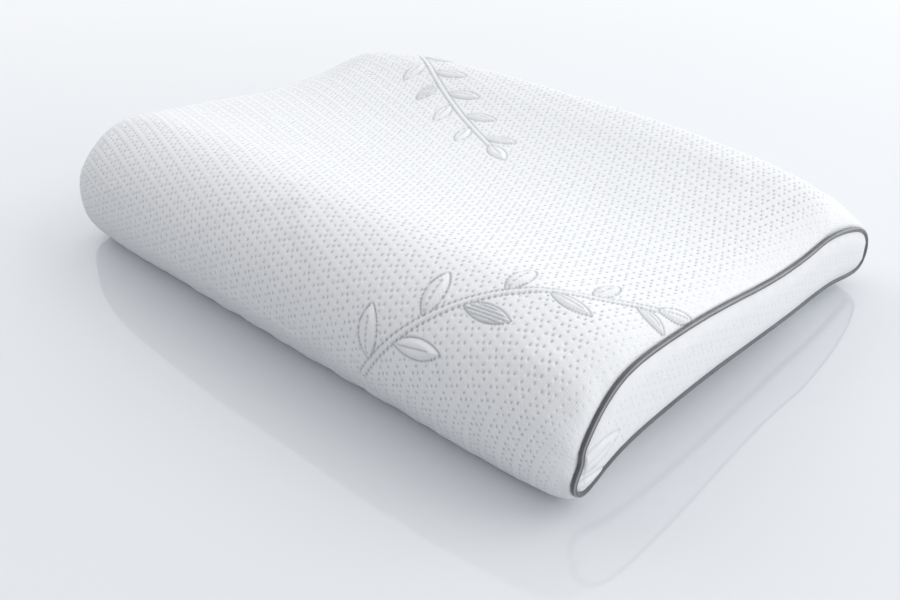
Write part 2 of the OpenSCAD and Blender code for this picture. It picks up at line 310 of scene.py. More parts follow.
# ---------------------------------------------------------------- mesh helpers
def grid_object(name, points, uvs=None, wrap_u=False, wrap_v=False, values=None, flip=False):
    """A quad grid through points (nu, nv, 3), in mm. uvs hold one more row or column where it wraps."""
    nu, nv = points.shape[:2]
    cu, cv = nu - (not wrap_u), nv - (not wrap_v)
    i, j = np.meshgrid(np.arange(cu), np.arange(cv), indexing="ij")
    corners = np.stack([np.stack([i, j]), np.stack([i, j + 1]), np.stack([i + 1, j + 1]),
                        np.stack([i + 1, j])], -1)
    if flip:
        corners = corners[..., ::-1]
    a, b = corners[0], corners[1]
    verts = ((a % nu) * nv + (b % nv)).reshape(-1)
    mesh = bpy.data.meshes.new(name)
    mesh.vertices.add(nu * nv)
    mesh.vertices.foreach_set("co", (points * MM).astype(np.float32).ravel())
    mesh.loops.add(len(verts))
    mesh.loops.foreach_set("vertex_index", verts.astype(np.int32))
    mesh.polygons.add(cu * cv)
    mesh.polygons.foreach_set("loop_start", np.arange(0, 4 * cu * cv, 4, dtype=np.int32))
    mesh.update(calc_edges=True)
    for uv_name, uv in (uvs or {}).items():
        layer = mesh.uv_layers.new(name=uv_name)
        layer.data.foreach_set("uv", uv[a, b].reshape(-1).astype(np.float32))
    for value_name, value in (values or {}).items():
        attribute = mesh.attributes.new(value_name, "FLOAT", "POINT")
        attribute.data.foreach_set("value", value.astype(np.float32).ravel())
    mesh.polygons.foreach_set("use_smooth", np.ones(cu * cv, bool))
    mesh.validate()
    obj = bpy.data.objects.new(name, mesh)
    bpy.context.scene.collection.objects.link(obj)
    return obj


def spread(first, last, pace):
    """Places from first to last whose spacing follows pace(place)."""
    fine = np.linspace(first, last, 6001)
    load = np.concatenate([[0], np.cumsum(np.diff(fine) / pace((fine[1:] + fine[:-1]) / 2))])
    return np.interp(np.linspace(0, load[-1], int(math.ceil(load[-1])) + 1), load, fine)


def bake_uv(nu, nv):
    """Even UVs over a grid, just inside the unit square."""
    u, v = np.meshgrid(np.linspace(0.004, 0.996, nu), np.linspace(0.004, 0.996, nv), indexing="ij")
    return np.stack([u, v], -1)


def add_material(obj, material):
    """Gives a piece its one material."""
    obj.data.materials.clear()
    obj.data.materials.append(material)


def stand_in(obj, material, node):
    """Makes a piece ride on the pillow in place of a CAD node."""
    add_material(obj, material)
    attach(obj, "pillow")
    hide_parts(node)


# ---------------------------------------------------------------- materials
class Nodes:
    """Short names for making shader nodes."""

    def __init__(self, name):
        self.material = bpy.data.materials.new(name)
        self.material.use_nodes = True
        self.tree = self.material.node_tree
        self.shader = self.tree.nodes["Principled BSDF"]

    def link(self, source, target):
        if isinstance(source, (int, float)):
            target.default_value = source
        else:
            self.tree.links.new(source, target)

    def math(self, operation, a, b=None):
        node = self.tree.nodes.new("ShaderNodeMath")
        node.operation = operation
        for value, socket in zip((a, b), node.inputs):
            if value is not None:
                self.link(value, socket)
        return node.outputs[0]

    def uv(self, name):
        node = self.tree.nodes.new("ShaderNodeUVMap")
        node.uv_map = name
        split = self.tree.nodes.new("ShaderNodeSeparateXYZ")
        self.tree.links.new(node.outputs[0], split.inputs[0])
        return split.outputs[0], split.outputs[1]

    def place(self):
        return self.tree.nodes.new("ShaderNodeTexCoord").outputs["Object"]

    def value(self, name):
        node = self.tree.nodes.new("ShaderNodeAttribute")
        node.attribute_name = name
        return node.outputs["Fac"]

    def noise(self, vector, scale, detail=2.0):
        node = self.tree.nodes.new("ShaderNodeTexNoise")
        self.tree.links.new(vector, node.inputs["Vector"])
        node.inputs["Scale"].default_value = scale
        node.inputs["Detail"].default_value = detail
        return node.outputs[0]

    def step(self, value, low, high):
        node = self.tree.nodes.new("ShaderNodeMapRange")
        node.interpolation_type = "SMOOTHSTEP"
        self.link(value, node.inputs["Value"])
        node.inputs["From Min"].default_value = low
        node.inputs["From Max"].default_value = high
        return node.outputs[0]

    def colours(self, factor, first, second):
        node = self.tree.nodes.new("ShaderNodeMix")
        node.data_type = "RGBA"
        self.link(factor, node.inputs["Factor"])
        node.inputs[6].default_value = (*first, 1)
        node.inputs[7].default_value = (*second, 1)
        return node.outputs[2]

    def bump(self, height, distance):
        node = self.tree.nodes.new("ShaderNodeBump")
        node.inputs["Strength"].default_value = 1.0
        node.inputs["Distance"].default_value = distance
        self.link(height, node.inputs["Height"])
        self.tree.links.new(node.outputs[0], self.shader.inputs["Normal"])

    def set(self, **values):
        for key, value in values.items():
            self.shader.inputs[key.replace("_", " ")].default_value = value


def knit_material(name, dimple_shade_strength):
    """Padded double knit: grouped stitch points, slanting ribs and a little fibre fuzz, with painted
    shade in the stitch points and along the sprigs' outlines.
    """
    n = Nodes(name)
    i, j = n.uv("fabric")
    near_i, near_j = n.math("ROUND", i), n.math("ROUND", j)
    di = n.math("MULTIPLY", n.math("SUBTRACT", i, near_i), STEP_A)
    dj = n.math("MULTIPLY", n.math("SUBTRACT", j, near_j), STEP_B)
    along = n.math("SUBTRACT", n.math("MULTIPLY", di, LEAN_COS), n.math("MULTIPLY", dj, LEAN_SIN))
    across = n.math("ADD", n.math("MULTIPLY", di, LEAN_SIN), n.math("MULTIPLY", dj, LEAN_COS))
    along, across = n.math("MULTIPLY", along, 0.55), n.math("MULTIPLY", across, 1.05)
    distance = n.math("SQRT", n.math("ADD", n.math("MULTIPLY", along, along),
                                     n.math("MULTIPLY", across, across)))
    plus = n.math("LESS_THAN", n.math("PINGPONG", n.math("ADD", near_i, near_j), 2.0), 1.5)
    cross = n.math("LESS_THAN", n.math("PINGPONG", n.math("SUBTRACT", near_i, near_j), 2.0), 1.5)
    held = n.math("MULTIPLY", n.math("MULTIPLY", plus, cross), n.value("held"))
    dot = n.math("MULTIPLY", held, n.math("SUBTRACT", 1.0, n.step(distance, 0.15, 1.0)))
    fuzz = n.noise(n.place(), 900.0, 3.0)
    drift = n.noise(n.place(), 14.0, 2.0)
    turn = 2 * math.pi
    wale = n.math("ADD", n.math("MULTIPLY", i, turn * STEP_A * LEAN_SIN / RIB),
                  n.math("MULTIPLY", j, turn * STEP_B * LEAN_COS / RIB))
    rib = n.math("SINE", n.math("ADD", wale, n.math("MULTIPLY", drift, 2.0)))
    purl = n.math("SINE", n.math("MULTIPLY", j, turn * STEP_B / COURSE))
    line = n.value("line")
    height = n.math("ADD", n.math("MULTIPLY", dot, -0.65), n.math("MULTIPLY", rib, 0.07))
    height = n.math("ADD", height, n.math("MULTIPLY", purl, 0.018))
    height = n.math("ADD", height, n.math("MULTIPLY", fuzz, 0.10))
    height = n.math("SUBTRACT", height, n.math("MULTIPLY", line, 0.35))
    n.bump(height, MM)
    # Painted shade: the stitch points and the sprigs' outlines are darkened in colour towards a bluish
    # grey, standing in for the shade in these hollows; the rib and drift terms vary the tone a little.
    painted_shade_and_tone = n.math("ADD", n.math("MULTIPLY", dot, dimple_shade_strength), n.math("MULTIPLY", line, 0.52))
    painted_shade_and_tone = n.math("ADD", painted_shade_and_tone, n.math("MULTIPLY", n.math("SUBTRACT", 1.0, rib), 0.012))
    painted_shade_and_tone = n.math("ADD", painted_shade_and_tone, n.math("MULTIPLY", drift, 0.02))
    n.link(n.colours(painted_shade_and_tone, (0.855, 0.868, 0.890), (0.33, 0.34, 0.38)), n.shader.inputs["Base Color"])
    n.link(n.math("ADD", 0.78, n.math("MULTIPLY", fuzz, 0.2)), n.shader.inputs["Roughness"])
    n.set(Specular_IOR_Level=0.25, Sheen_Weight=0.12, Sheen_Roughness=0.5)
    return n.material


def piping_material():
    """Satin bias tape: a fine twill on the slant, with a painted highlight along the crown and painted
    shade in the crease.
    """
    n = Nodes("piping satin")
    along, around = n.uv("tape")
    twill = n.math("SINE", n.math("MULTIPLY", n.math("ADD", along, around), 2 * math.pi / 0.55))
    cross = n.math("SINE", n.math("MULTIPLY", n.math("SUBTRACT", along, around), 2 * math.pi / 0.9))
    wear_and_sheen = n.noise(n.place(), 60.0, 3.0)
    fibre = n.noise(n.place(), 1500.0, 2.0)
    from_crease = n.math("ABSOLUTE", n.math("SUBTRACT", around, 4.6))
    from_crown = n.math("ABSOLUTE", n.math("SUBTRACT", around, 5.9))
    # The crown band is a painted highlight and the crease a painted shade. Both are set in the colour
    # below, and the crease is also a small groove in the bump.
    crease = n.math("SUBTRACT", 1.0, n.step(from_crease, 0.08, 0.45))
    crown = n.math("SUBTRACT", 1.0, n.step(from_crown, 0.15, 0.85))
    height = n.math("ADD", n.math("MULTIPLY", twill, 0.035), n.math("MULTIPLY", cross, 0.012))
    height = n.math("SUBTRACT", height, n.math("MULTIPLY", crease, 0.08))
    n.bump(height, MM)
    # Colour: twill and a random tone, plus the painted crown highlight, whose strength the same noise
    # varies, less fibre specks and the painted crease shade.
    tone_and_painted_light = n.math("ADD", n.math("MULTIPLY", twill, 0.04), n.math("MULTIPLY", wear_and_sheen, 0.25))
    highlight_strength = n.math("ADD", 0.35, n.math("MULTIPLY", wear_and_sheen, 0.7))
    tone_and_painted_light = n.math("ADD", tone_and_painted_light, n.math("MULTIPLY", crown, highlight_strength))
    tone_and_painted_light = n.math("SUBTRACT", n.math("SUBTRACT", tone_and_painted_light, n.math("MULTIPLY", fibre, 0.06)),
                   n.math("MULTIPLY", crease, 0.2))
    n.link(n.colours(tone_and_painted_light, (0.085, 0.089, 0.100), (0.40, 0.41, 0.435)), n.shader.inputs["Base Color"])
    n.link(n.math("ADD", 0.26, n.math("MULTIPLY", fibre, 0.14)), n.shader.inputs["Roughness"])
    n.set(Specular_IOR_Level=0.75, Sheen_Weight=0.15, Sheen_Roughness=0.4)
    return n.material


def cotton_material(name, colour, shade, scale, rough=0.9):
    """Spun fibre: a two-way fine weave with uneven yarn."""
    n = Nodes(name)
    split = n.tree.nodes.new("ShaderNodeSeparateXYZ")
    n.tree.links.new(n.place(), split.inputs[0])
    warp = n.math("SINE", n.math("MULTIPLY", split.outputs[0], scale))
    weft = n.math("SINE", n.math("MULTIPLY", n.math("ADD", split.outputs[1], split.outputs[2]), scale))
    weave = n.math("MULTIPLY", warp, weft)
    slub = n.noise(n.place(), scale * 0.08, 3.0)
    n.bump(n.math("ADD", n.math("MULTIPLY", weave, 0.06), n.math("MULTIPLY", slub, 0.08)), MM)
    factor = n.math("ADD", n.math("MULTIPLY", slub, 0.6), n.math("MULTIPLY", weave, 0.12))
    n.link(n.colours(factor, colour, shade), n.shader.inputs["Base Color"])
    n.link(n.math("ADD", rough - 0.1, n.math("MULTIPLY", slub, 0.15)), n.shader.inputs["Roughness"])
    n.set(Specular_IOR_Level=0.25, Sheen_Weight=0.1, Sheen_Roughness=0.5)
    return n.material


def foam_material():
    """Moulded foam: a pale cream skin with open cells."""
    n = Nodes("moulded foam")
    cells = n.tree.nodes.new("ShaderNodeTexVoronoi")
    n.tree.links.new(n.place(), cells.inputs["Vector"])
    cells.inputs["Scale"].default_value = 900.0
    pits = n.step(cells.outputs["Distance"], 0.1, 0.5)
    tone = n.noise(n.place(), 22.0, 3.0)
    n.bump(n.math("ADD", n.math("MULTIPLY", pits, 0.12), n.math("MULTIPLY", tone, 0.2)), MM)
    n.link(n.colours(n.math("MULTIPLY", tone, 0.8), (0.83, 0.80, 0.70), (0.72, 0.67, 0.53)),
           n.shader.inputs["Base Color"])
    n.link(n.math("SUBTRACT", 0.95, n.math("MULTIPLY", pits, 0.15)), n.shader.inputs["Roughness"])
    n.set(Specular_IOR_Level=0.3)
    return n.material


def metal_material():
    """Nickel-plated zinc, brushed by use."""
    n = Nodes("nickel plate")
    brush = n.noise(n.place(), 700.0, 4.0)
    smear = n.noise(n.place(), 90.0, 2.0)
    n.bump(brush, 0.00003)
    n.link(n.colours(smear, (0.56, 0.57, 0.59), (0.42, 0.43, 0.45)), n.shader.inputs["Base Color"])
    n.link(n.math("ADD", 0.18, n.math("MULTIPLY", brush, 0.22)), n.shader.inputs["Roughness"])
    n.set(Metallic=1.0)
    return n.material


def nylon_material():
    """Milky moulded nylon."""
    n = Nodes("nylon teeth")
    tone = n.noise(n.place(), 400.0, 2.0)
    n.link(n.colours(tone, (0.82, 0.83, 0.84), (0.70, 0.71, 0.73)), n.shader.inputs["Base Color"])
    n.link(n.math("ADD", 0.28, n.math("MULTIPLY", tone, 0.15)), n.shader.inputs["Roughness"])
    n.set(Specular_IOR_Level=0.5)
    return n.material


def floor_material():
    """Glossy pale tabletop."""
    n = Nodes("tabletop")
    tone = n.noise(n.place(), 1.3, 2.0)
    n.link(n.colours(tone, (0.70, 0.725, 0.76), (0.735, 0.755, 0.785)), n.shader.inputs["Base Color"])
    n.set(Roughness=0.05, Specular_IOR_Level=0.5, IOR=1.6)
    return n.material


KNIT_MATERIAL = knit_material("padded double knit", 0.30)
PIPING_MATERIAL = piping_material()
LINER_MATERIAL = cotton_material("liner tricot", (0.86, 0.86, 0.85), (0.74, 0.74, 0.73), 7000.0)
CORD_MATERIAL = cotton_material("filler cord", (0.80, 0.78, 0.72), (0.68, 0.65, 0.58), 5000.0)
TAPE_MATERIAL = cotton_material("zip tape weave", (0.78, 0.79, 0.80), (0.62, 0.63, 0.65), 9000.0, 0.8)
THREAD_MATERIAL = cotton_material("sewing thread", (0.86, 0.86, 0.87), (0.70, 0.70, 0.72), 12000.0, 0.6)
FOAM_MATERIAL = foam_material()
METAL_MATERIAL = metal_material()
NYLON_MATERIAL = nylon_material()


# ---------------------------------------------------------------- cover, wrapped panel
def wrap_places():
    """Where the cover's grid lines run: close where the camera and the sprigs are, wide underneath."""
    base = 1.12
    fine = 0.66
    u = spread(-U_LAST, U_LAST, lambda v: np.where(v > 92, fine, base))
    s = spread(S_FIRST, S_LAST,
               lambda v: np.where((v < -75) | (v > 560), 3.2, np.where(v < 205, fine, base)))
    return u, s


def slit_gap(x):
    """Half the gap between the panel's two long edges."""
    closed = smooth(ZIP_HALF + 1.5, ZIP_HALF + 7, np.abs(x))
    return SEAM_HALF_GAP + (SLIT_HALF - SEAM_HALF_GAP) * (1 - closed)


def settle(points, held, excess):
    """Moves, in mm, that a cloth simulation gives a sewn grid cut too wide by the share excess."""
    nu, nv = points.shape[:2]
    obj = grid_object("settling_cloth", points, flip=True)
    group = obj.vertex_groups.new(name="held")
    group.add(np.flatnonzero(held.ravel()).tolist(), 1.0, "REPLACE")
    cloth = obj.modifiers.new("settling", "CLOTH")
    last_frame = 20
    cloth.point_cache.frame_start, cloth.point_cache.frame_end = 1, last_frame
    settings = cloth.settings
    settings.quality = 4
    settings.mass = 0.3
    settings.air_damping = 2.0
    settings.tension_stiffness = settings.compression_stiffness = 12.0
    settings.shear_stiffness = 4.0
    settings.bending_stiffness = 0.15
    settings.vertex_group_mass = "held"
    settings.use_pressure = True
    settings.uniform_pressure_force = 4.0
    settings.shrink_min = -excess
    settings.effector_weights.gravity = 0.0
    cloth.collision_settings.use_collision = False
    scene = bpy.context.scene
    for number in range(1, last_frame + 1):
        scene.frame_set(number)
    shape = obj.evaluated_get(bpy.context.evaluated_depsgraph_get()).data
    moved = np.empty(nu * nv * 3, np.float32)
    shape.vertices.foreach_get("co", moved)
    scene.frame_set(1)
    bpy.data.objects.remove(obj)
    return moved.reshape(nu, nv, 3) / MM - points


def blur_matrix(places, reach):
    """Weights of a moving mean over uneven places."""
    weights = np.exp(-0.5 * ((places[:, None] - places[None]) / reach) ** 2)
    weights *= np.gradient(places)[None]
    return weights / weights.sum(1, keepdims=True)


def resample_matrix(places, wanted):
    """Weights of a smooth curve through values at places, read at the wanted places."""
    at = np.interp(wanted, places, np.arange(len(places)))
    first = np.clip(np.floor(at).astype(int), 0, len(places) - 2)
    f = at - first
    weights = np.zeros((len(wanted), len(places)))
    rows = np.arange(len(wanted))
    for step, w in ((-1, -0.5 * f + f**2 - 0.5 * f**3), (0, 1 - 2.5 * f**2 + 1.5 * f**3),
                    (1, 0.5 * f + 2 * f**2 - 1.5 * f**3), (2, -0.5 * f**2 + 0.5 * f**3)):
        np.add.at(weights, (rows, np.clip(first + step, 0, len(places) - 1)), w)
    return weights


def wrinkles(u, s):
    """Puckers of the wrapped panel at the places u and s, from a cloth simulation on a wider grid."""
    cu = spread(-U_LAST, U_LAST, lambda v: np.where(np.abs(v) > 195, 4.5, 11.0))
    cs = np.linspace(S_FIRST, S_LAST, 260)
    points = section(x_of_u(cu), t_of_s(cs))
    held = points[..., 2] < 0.8
    held[[0, -1]] = True
    held[:, [0, -1]] = True

    def weigh(along_u, along_s, values):
        return np.einsum("ab,bcd->acd", along_u, np.einsum("ab,cbd->cad", along_s, values))

    move = settle(points, held, 0.006)
    # The smooth part of the swelling is taken away, and so is what the grid is too coarse for
    move -= weigh(blur_matrix(cu, 30.0), blur_matrix(cs, 30.0), move)
    move = weigh(blur_matrix(cu, 3.5), blur_matrix(cs, 3.5), move)
    size = np.linalg.norm(move, axis=-1, keepdims=True)
    move *= WRINKLE_CAP * np.tanh(size / WRINKLE_CAP) / np.maximum(size, 1e-6)
    return weigh(resample_matrix(cu, u), resample_matrix(cs, s), move)


def cover_wrap():
    """The panel that goes all the way round, with its dimples, sprigs, puckers and turned-in edges."""
    u, s = wrap_places()
    x = x_of_u(u)
    gap = slit_gap(x)[:, None]
    reach = 40.0
    rows = s[None] + gap * np.clip(1 - (s[None] - S_FIRST) / reach, 0, 1) \
        - gap * np.clip(1 - (S_LAST - s[None]) / reach, 0, 1)
    points = section(x, t_of_s(rows))
    normals = normals_of(points)
    uu, ss = np.broadcast_to(u[:, None], rows.shape), rows
    to_end = U_LAST - np.abs(uu)
    to_slit = np.minimum(rows - S_FIRST - gap, S_LAST - gap - rows)

    i, j = lattice(uu, ss)
    sharp, soft = dimples(i, j)
    height, line, cover = motif(uu, ss, SPRIGS)
    shape = smooth(3, 40, to_end)
    held = (0.18 + 0.82 * shape) * smooth(1.0, 2.6, cover) * smooth(2, 8, to_slit)
    flat = smooth(6, 24, to_slit)
    relief = -0.46 * sharp * held - 0.22 * soft * held
    relief += height - 1.05 * line + 0.35 * wander(uu, ss, 3, 70) * flat
    # The seam holds the fabric down unevenly, in short soft puckers,
    gather = wander(rows, uu * 0.15, 8, 21) + 0.6 * wander(rows, uu * 0.1, 9, 9)
    relief += 0.35 * gather * smooth(0, 4, to_end) * (1 - smooth(4, 26, to_end))
    # and lets it swell over the piping just behind
    swell = np.where(uu < 0, 1.3, 0.9)
    relief += swell * smooth(0, 5, to_end) * (1 - smooth(8, 45, to_end)) * flat
    # A soft fold runs to the front right corner
    fold = 2.2 * np.exp(-((ss - 73) / 16) ** 2) - 1.4 * np.exp(-((ss - 8) / 24) ** 2)
    relief += fold * smooth(185, 235, uu) * smooth(0, 14, to_end)
    relief *= smooth(0.0, 1.5, to_end)
    points = points + normals * relief[..., None]
    points += wrinkles(u, s) * (smooth(0, 5, to_end) * flat)[..., None]
    points[..., 2] = np.maximum(points[..., 2], 0.0)

    # Seam allowance, turned in behind each piping
    def turned(edge, k):
        step_x = np.array([1 if k < 0 else -1, 0, 0])
        ring_in = inward_of_end(t_of_s(rows[k]))
        return [edge + 0.35 * step_x + ring_in * 1.0, edge + 0.35 * step_x + ring_in * 5.0]

    right = turned(points[-1], -1)
    left = turned(points[0], 0)
    points = np.concatenate([left[::-1], points, right])
    extend = lambda v: np.concatenate([v[:1], v[:1], v, v[-1:], v[-1:]])
    held, line, i, j = extend(held), extend(line), extend(i), extend(j)

    # Long edges rolled in over the zip
    def hem(k):
        edge = points[:, k]
        nxt = points[:, k + (1 if k == 0 else -1)]
        out = edge - nxt
        out /= np.maximum(np.linalg.norm(out, axis=1, keepdims=True), 1e-6)
        down = np.concatenate([normals[:1, k], normals[:1, k], normals[:, k], normals[-1:, k],
                               normals[-1:, k]])
        r = 1.3
        centre = edge - down * r
        rings = [centre + r * (down * math.cos(a) + out * math.sin(a))
                 for a in np.radians([40, 85, 130, 180])]
        rings.append(rings[-1] - out * 7)
        return np.stack(rings, 1)

    first, last = hem(0), hem(-1)
    points = np.concatenate([first[:, ::-1], points, last], 1)
    pad = lambda v, fill: np.concatenate(
        [np.repeat(v[:, :1], 5, 1) * fill, v, np.repeat(v[:, -1:], 5, 1) * fill], 1)
    held, line, i, j = pad(held, 0), pad(line, 1), pad(i, 1), pad(j, 1)
    # held and line also set the painted shade of the stitch points and outlines in the knit's colour; the
    # rolled hems take the full line value, so they get the full painted shade too.
    obj = grid_object("knit_cover", points,
                      {"fabric": np.stack([i, j], -1), "OFBake": bake_uv(*points.shape[:2])},
                      values={"held": held, "line": line}, flip=True)
    stand_in(obj, KNIT_MATERIAL, "cover_wrap")
    return obj


def end_frame(t):
    """Place, direction along, and direction inward, of the end outline."""
    place = spline_at(END, END_BEND, t)
    ahead = spline_at(END, END_BEND, t + 0.02) - spline_at(END, END_BEND, t - 0.02)
    ahead /= np.linalg.norm(ahead, axis=-1, keepdims=True)
    return place, ahead, np.stack([ahead[..., 1], -ahead[..., 0]], -1)


def inward_of_end(t):
    """Direction inward of the end outline, as (x, y, z)."""
    _, _, inward = end_frame(t)
    return np.concatenate([np.zeros((*inward.shape[:-1], 1)), inward], -1)


# ---------------------------------------------------------------- end panels
END_SPRIGS = [{"stem": [np.array([-209.5, 5.0]), np.array([-199.5, 17.0])],
               "leaves": [(np.array([-173.5, 43.0]), 14, 44, 16, 0),
                          (np.array([-179.5, 25.0]), 2, 34, 11, 1)]}]


def end_panel(side, crown):
    """A crowned panel inside the piping."""
    t = np.linspace(0, COUNT, 3001)[:-1]
    place, _, inward = end_frame(t)
    ring = place + inward * 0.9
    front, back = np.argmin(ring[:, 0]), np.argmax(ring[:, 0])
    lower = np.roll(ring, -back, 0)
    n_low = (front - back) % len(ring)
    low = lower[: n_low + 1][::-1]
    high = np.roll(ring, -front, 0)[: (back - front) % len(ring) + 1]
    y0, y1 = ring[front, 0], ring[back, 0]
    pitch = 1.15
    count = int((y1 - y0) / pitch)
    # Even steps along the middle, closer ones at the two tips
    even = np.linspace(y0, y1, count)
    y = (y0 + y1) / 2 - (y1 - y0) / 2 * np.cos(np.linspace(0, math.pi, count))
    y = 0.6 * even + 0.4 * y
    z_low = np.interp(y, np.maximum.accumulate(low[:, 0]), low[:, 1])
    z_high = np.interp(y, np.maximum.accumulate(high[:, 0]), high[:, 1])
    across = np.linspace(-1, 1, int(68 / pitch))
    v = np.sin(across * math.pi / 2) * 0.35 + across * 0.65
    z = z_low[:, None] + (z_high - z_low)[:, None] * (v[None] + 1) / 2
    yy = np.broadcast_to(y[:, None], z.shape)
    reach = np.minimum.reduce([z - z_low[:, None], z_high[:, None] - z,
                               np.maximum(yy - y0, 0) * 0.9, np.maximum(y1 - yy, 0) * 0.9])
    rise = 1 - (1 - np.clip(reach / 16, 0, 1)) ** 2.2
    bulge = 0.5 * smooth(0, 1.2, reach) + (crown - 0.5) * rise
    i, j = lattice(yy * side, z)
    sharp, soft = dimples(i, j)
    height, line, cover = motif(yy, z, END_SPRIGS if side > 0 else [])
    held = 0.32 * smooth(3, 16, reach) * smooth(1.0, 2.6, cover)
    relief = -0.22 * sharp * held - 0.14 * soft * held + 0.5 * height - 0.5 * line
    relief += 0.25 * wander(yy, z, 21, 50)
    relief += 0.45 * wander(yy, z * 0.2, 23, 16) * smooth(0, 3, reach) * (1 - smooth(3, 14, reach))
    x = 274.4 + bulge + relief * smooth(0, 2, reach)
    points = np.stack([side * x, yy, z], -1)
    # held and line, scaled here, also set the painted shade of the stitch points and outlines in the
    # knit's colour.
    obj = grid_object("end_panel_knit_" + ("right" if side > 0 else "left"), points,
                      {"fabric": np.stack([i, j], -1), "OFBake": bake_uv(*points.shape[:2])},
                      values={"held": held * 1.6, "line": line * 0.5}, flip=side < 0)
    stand_in(obj, KNIT_MATERIAL, "end_panel_right" if side > 0 else "end_panel_left")
    return obj


# ---------------------------------------------------------------- piping
def sweep(name, side, profile, stations, wobble=None):
    """Sweeps a closed profile of (outward, along x) offsets round the end outline."""
    t = np.linspace(0, COUNT, stations + 1)
    place, _, inward = end_frame(t)
    # On the left the seam rolls a little further under, most of all at its front corner
    if side < 0:
        place = place + inward * (1.3 + 2.0 * np.exp(-((t - 4.5) / 1.5) ** 2))[:, None]
    length = np.concatenate([[0], np.cumsum(np.hypot(*np.diff(place, axis=0).T))])
    scale = np.ones(len(t)) if wobble is None else wobble(length)
    centre = np.stack([np.full(len(t), SEAM_X), place[:, 0], place[:, 1]], -1)
    outward = np.stack([np.zeros(len(t)), -inward[:, 0], -inward[:, 1]], -1)
    points = centre[:, None] + outward[:, None] * (profile[None, :, :1] * scale[:, None, None])
    points[..., 0] += profile[None, :, 1] * scale[:, None]
    points[..., 0] *= side
    points = points[:-1]
    around = np.concatenate([[0], np.cumsum(np.hypot(*np.diff(
        np.concatenate([profile, profile[:1]]), axis=0).T))])
    uv = np.stack(np.broadcast_arrays(length[:, None], around[None]), -1)
    return grid_object(name, points, {"tape": uv}, wrap_u=True, wrap_v=True, flip=side < 0)


def piping(side):
    """One end's piping tape, with its flange, and the filler cord inside it."""
    label = "right" if side > 0 else "left"
    angle = np.radians(np.linspace(-205, 155, 25))
    ring = PIPING_SHOWN * np.stack([np.cos(angle), np.sin(angle)], -1)[:-1]
    # The profile ends in a flat flange, sewn in between the wrap and the end panel
    keep = ring[:, 0] > -1.5
    ring = ring[keep]
    ring = ring[np.argsort(np.arctan2(ring[:, 1], ring[:, 0]))]
    flange = np.array([[-2.4, 0.0], [-9.6, 0.05], [-9.6, -0.75], [-2.4, -0.8]])
    profile = np.concatenate([ring, flange])
    rng = np.random.default_rng(5 if side > 0 else 6)
    phases = rng.uniform(0, 2 * math.pi, 5)

    def wobble(length):
        waves = sum(np.sin(2 * math.pi * length / w + p) for w, p in zip((97, 41, 23, 13, 7.3), phases))
        join = np.exp(-((length - 3) / 3.2) ** 4) + np.exp(-((length - length[-1] - 3) / 3.2) ** 4)
        return 1 + 0.012 * waves + 0.08 * join

    obj = sweep("piping_" + label, side, profile, 700, wobble)
    stand_in(obj, PIPING_MATERIAL, "piping_tape_" + label)
    turn = np.radians(np.arange(0, 360, 36))
    inner = FILLER_R * np.stack([np.cos(turn), np.sin(turn)], -1)
    cord = sweep("piping_filler_" + label, side, inner, 420)
    stand_in(cord, CORD_MATERIAL, "piping_cord_" + label)


# ---------------------------------------------------------------- core and liner
def dent(y):
    """Extra depth over the zip."""
    u = np.clip(np.abs(y - ZIP_Y) / 34, 0, 1)
    return ZIP_DENT * (1 - u * u) ** 2


def inner_layer(depth, columns, rows, closed):
    """Grid at a constant depth under the cover's outer face, deeper over the zip."""
    a = np.linspace(0, math.radians(78), columns)
    u = np.concatenate([-_uniform(a)[::-1], np.linspace(10 - STRAIGHT, STRAIGHT - 10, 31), _uniform(a)])
    x = x_of_u(u)
    t = np.linspace(0, COUNT, rows + 1)
    t = t[:-1] if closed else t
    points = section(x, t)
    normal_m = _inward(MIDDLE)
    normal_e = _inward(END)
    n = normal_e(t)[None] + (normal_m(t) - normal_e(t))[None] * fullness(x, t[None])[..., None]
    extra = np.where(n[..., 1] > 0.8, dent(points[..., 1]), 0)
    points[..., 1:] += n * (depth + extra)[..., None]
    return points


def _uniform(a):
    """Length coordinate at an angle round the end."""
    return np.interp(a, _a, _u)


def _inward(points):
    """Smooth inward direction along a closed outline, as a function of t."""
    along = np.roll(points, -1, 0) - np.roll(points, 1, 0)
    normal = np.stack([along[:, 1], -along[:, 0]], -1)
    normal /= np.linalg.norm(normal, axis=1, keepdims=True)
    bend = spline_bend(normal)
    return lambda t: spline_at(normal, bend, t)


def foam_core():
    """The moulded block."""
    points = inner_layer(CORE_DEPTH, 22, 176, True)
    # Dished end faces
    rings = []
    for k, sign in ((0, -1), (-1, 1)):
        edge = points[k]
        middle = np.stack([edge[:, 0], np.clip(edge[:, 1], -135, 135),
                           np.interp(edge[:, 1], FACE_Y, FACE_Z)], -1)
        chain = []
        for f in (0.06, 0.2, 0.5, 1.0):
            ring = edge + (middle - edge) * f
            ring[:, 0] = edge[:, 0] + sign * (0.5 * min(1, f * 6))
            chain.append(ring)
        rings.append(chain[::-1] if k == 0 else chain)
    points = np.concatenate([np.stack(rings[0]), points, np.stack(rings[1])])
    obj = grid_object("foam_block", points, wrap_v=True, flip=True)
    stand_in(obj, FOAM_MATERIAL, "foam_core")


def liner_tube():
    """The thin sock round the core."""
    points = inner_layer(LINER_DEPTH, 20, 150, False)
    obj = grid_object("liner_sock", points, flip=True)
    stand_in(obj, LINER_MATERIAL, "liner_tube")
    return obj


